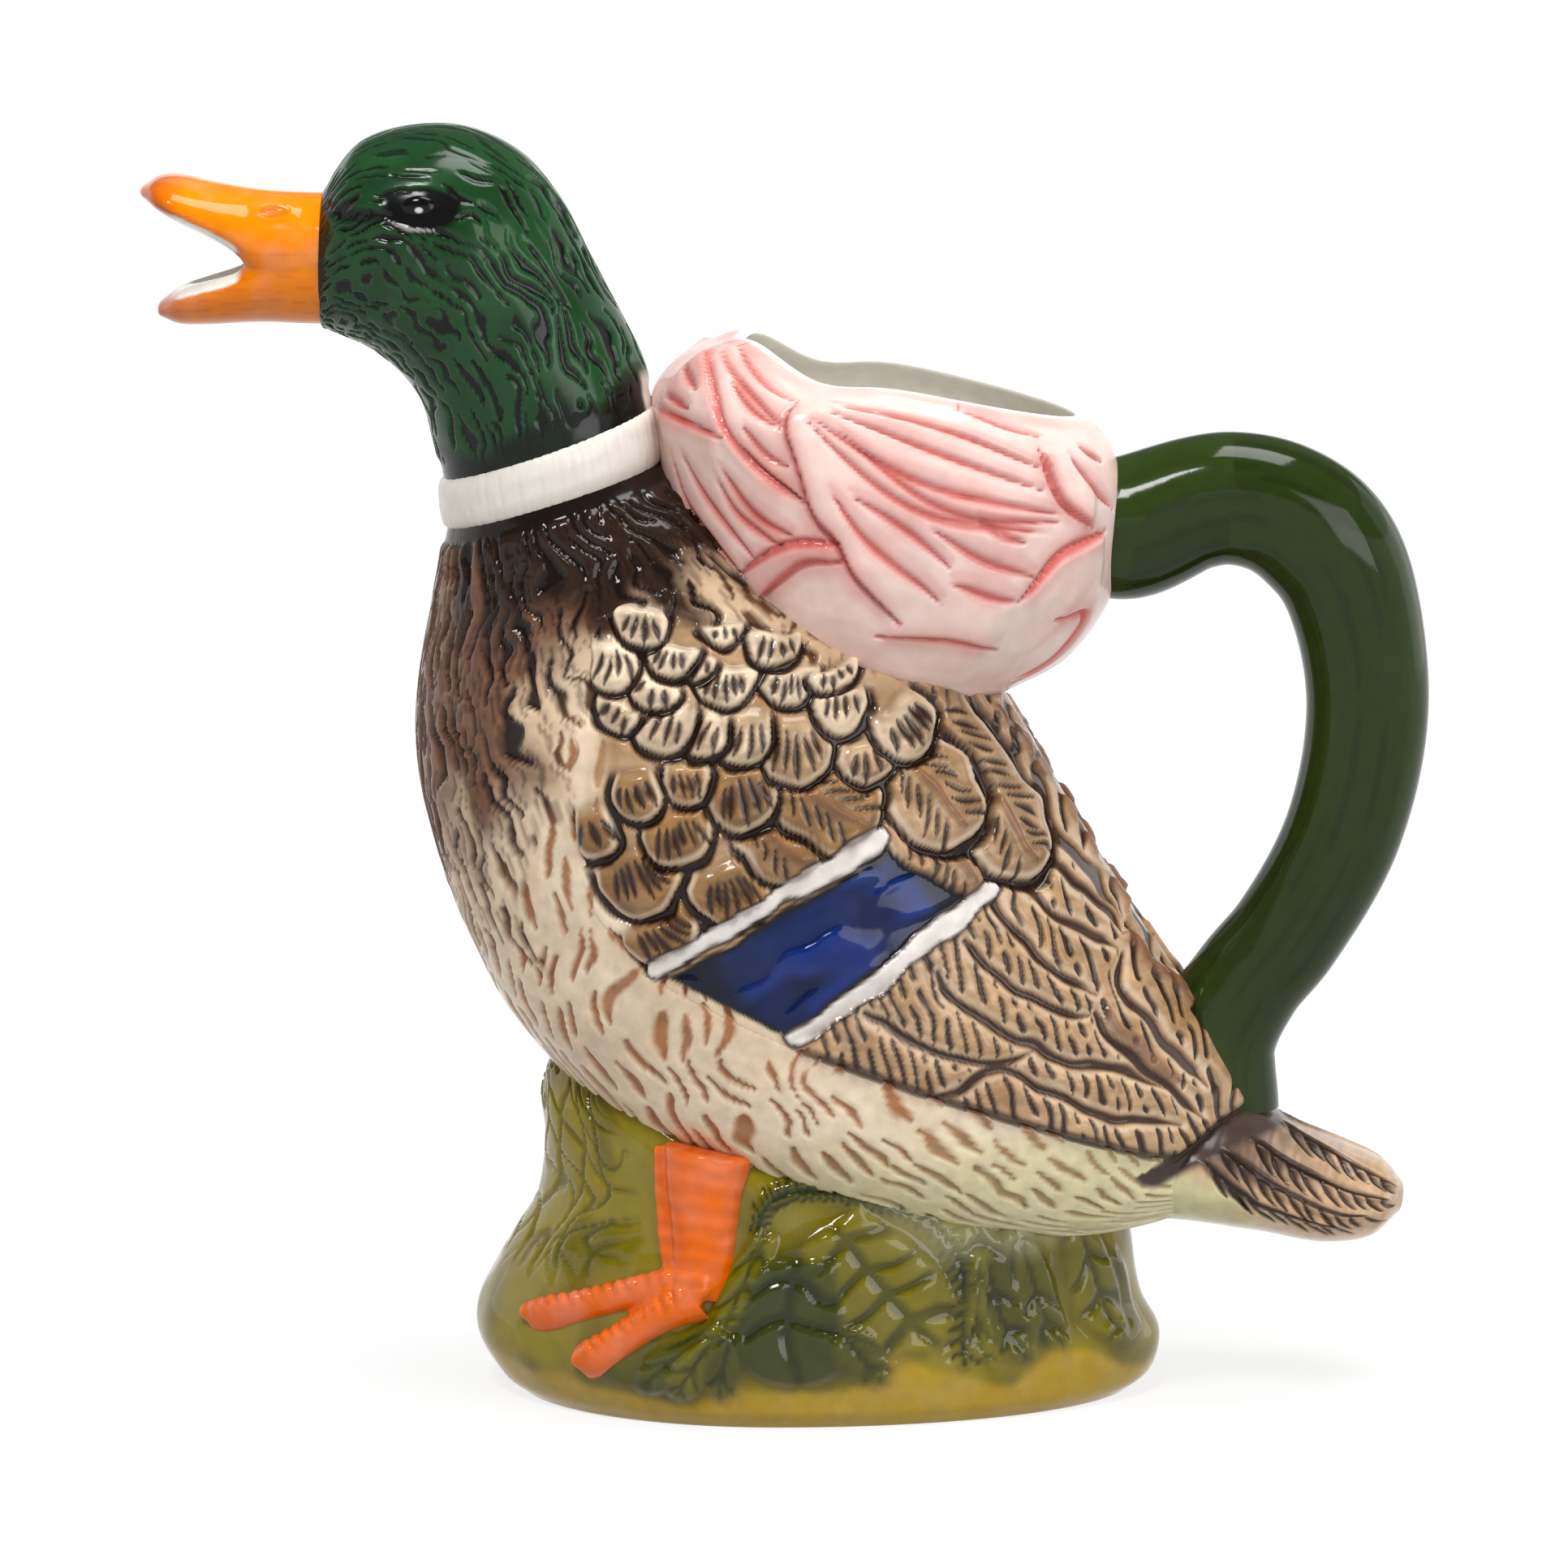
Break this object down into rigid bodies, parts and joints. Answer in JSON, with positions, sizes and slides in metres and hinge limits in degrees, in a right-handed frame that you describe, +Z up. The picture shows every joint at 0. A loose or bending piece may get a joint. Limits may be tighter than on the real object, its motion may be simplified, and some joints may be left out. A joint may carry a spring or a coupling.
{
  "type": "creamer",
  "caption": "Duck-shaped cream jug in glazed earthenware: petal collar to fill it, open bill to pour from, loop handle on the back and a grassy hollow foot.",
  "frame": {"origin": "middle of the jug's plan outline, on the table", "axes": "+Z up, the duck looks along -X, its left side faces -Y"},
  "size_m": [0.176, 0.0652, 0.1761],
  "materials": {
    "plumage_glaze": "gloss",
    "band_glaze": "gloss",
    "head_glaze": "gloss",
    "bill_glaze": "gloss",
    "petal_glaze": "gloss",
    "handle_glaze": "gloss",
    "tail_glaze": "gloss",
    "grass_glaze": "gloss",
    "wing_glaze": "gloss",
    "leg_glaze": "gloss",
    "eye_glaze": "gloss"
  },
  "bodies": {
    "root": {"body_shell": "plumage_glaze", "neck_band": "band_glaze", "head_shell": "head_glaze", "bill": "bill_glaze", "petal_collar": "petal_glaze", "handle": "handle_glaze", "tail": "tail_glaze", "base_mound": "grass_glaze", "left_wing": "wing_glaze", "right_wing": "wing_glaze", "left_leg": "leg_glaze", "right_leg": "leg_glaze", "left_eye": "eye_glaze", "right_eye": "eye_glaze"}
  },
  "joints": []
}
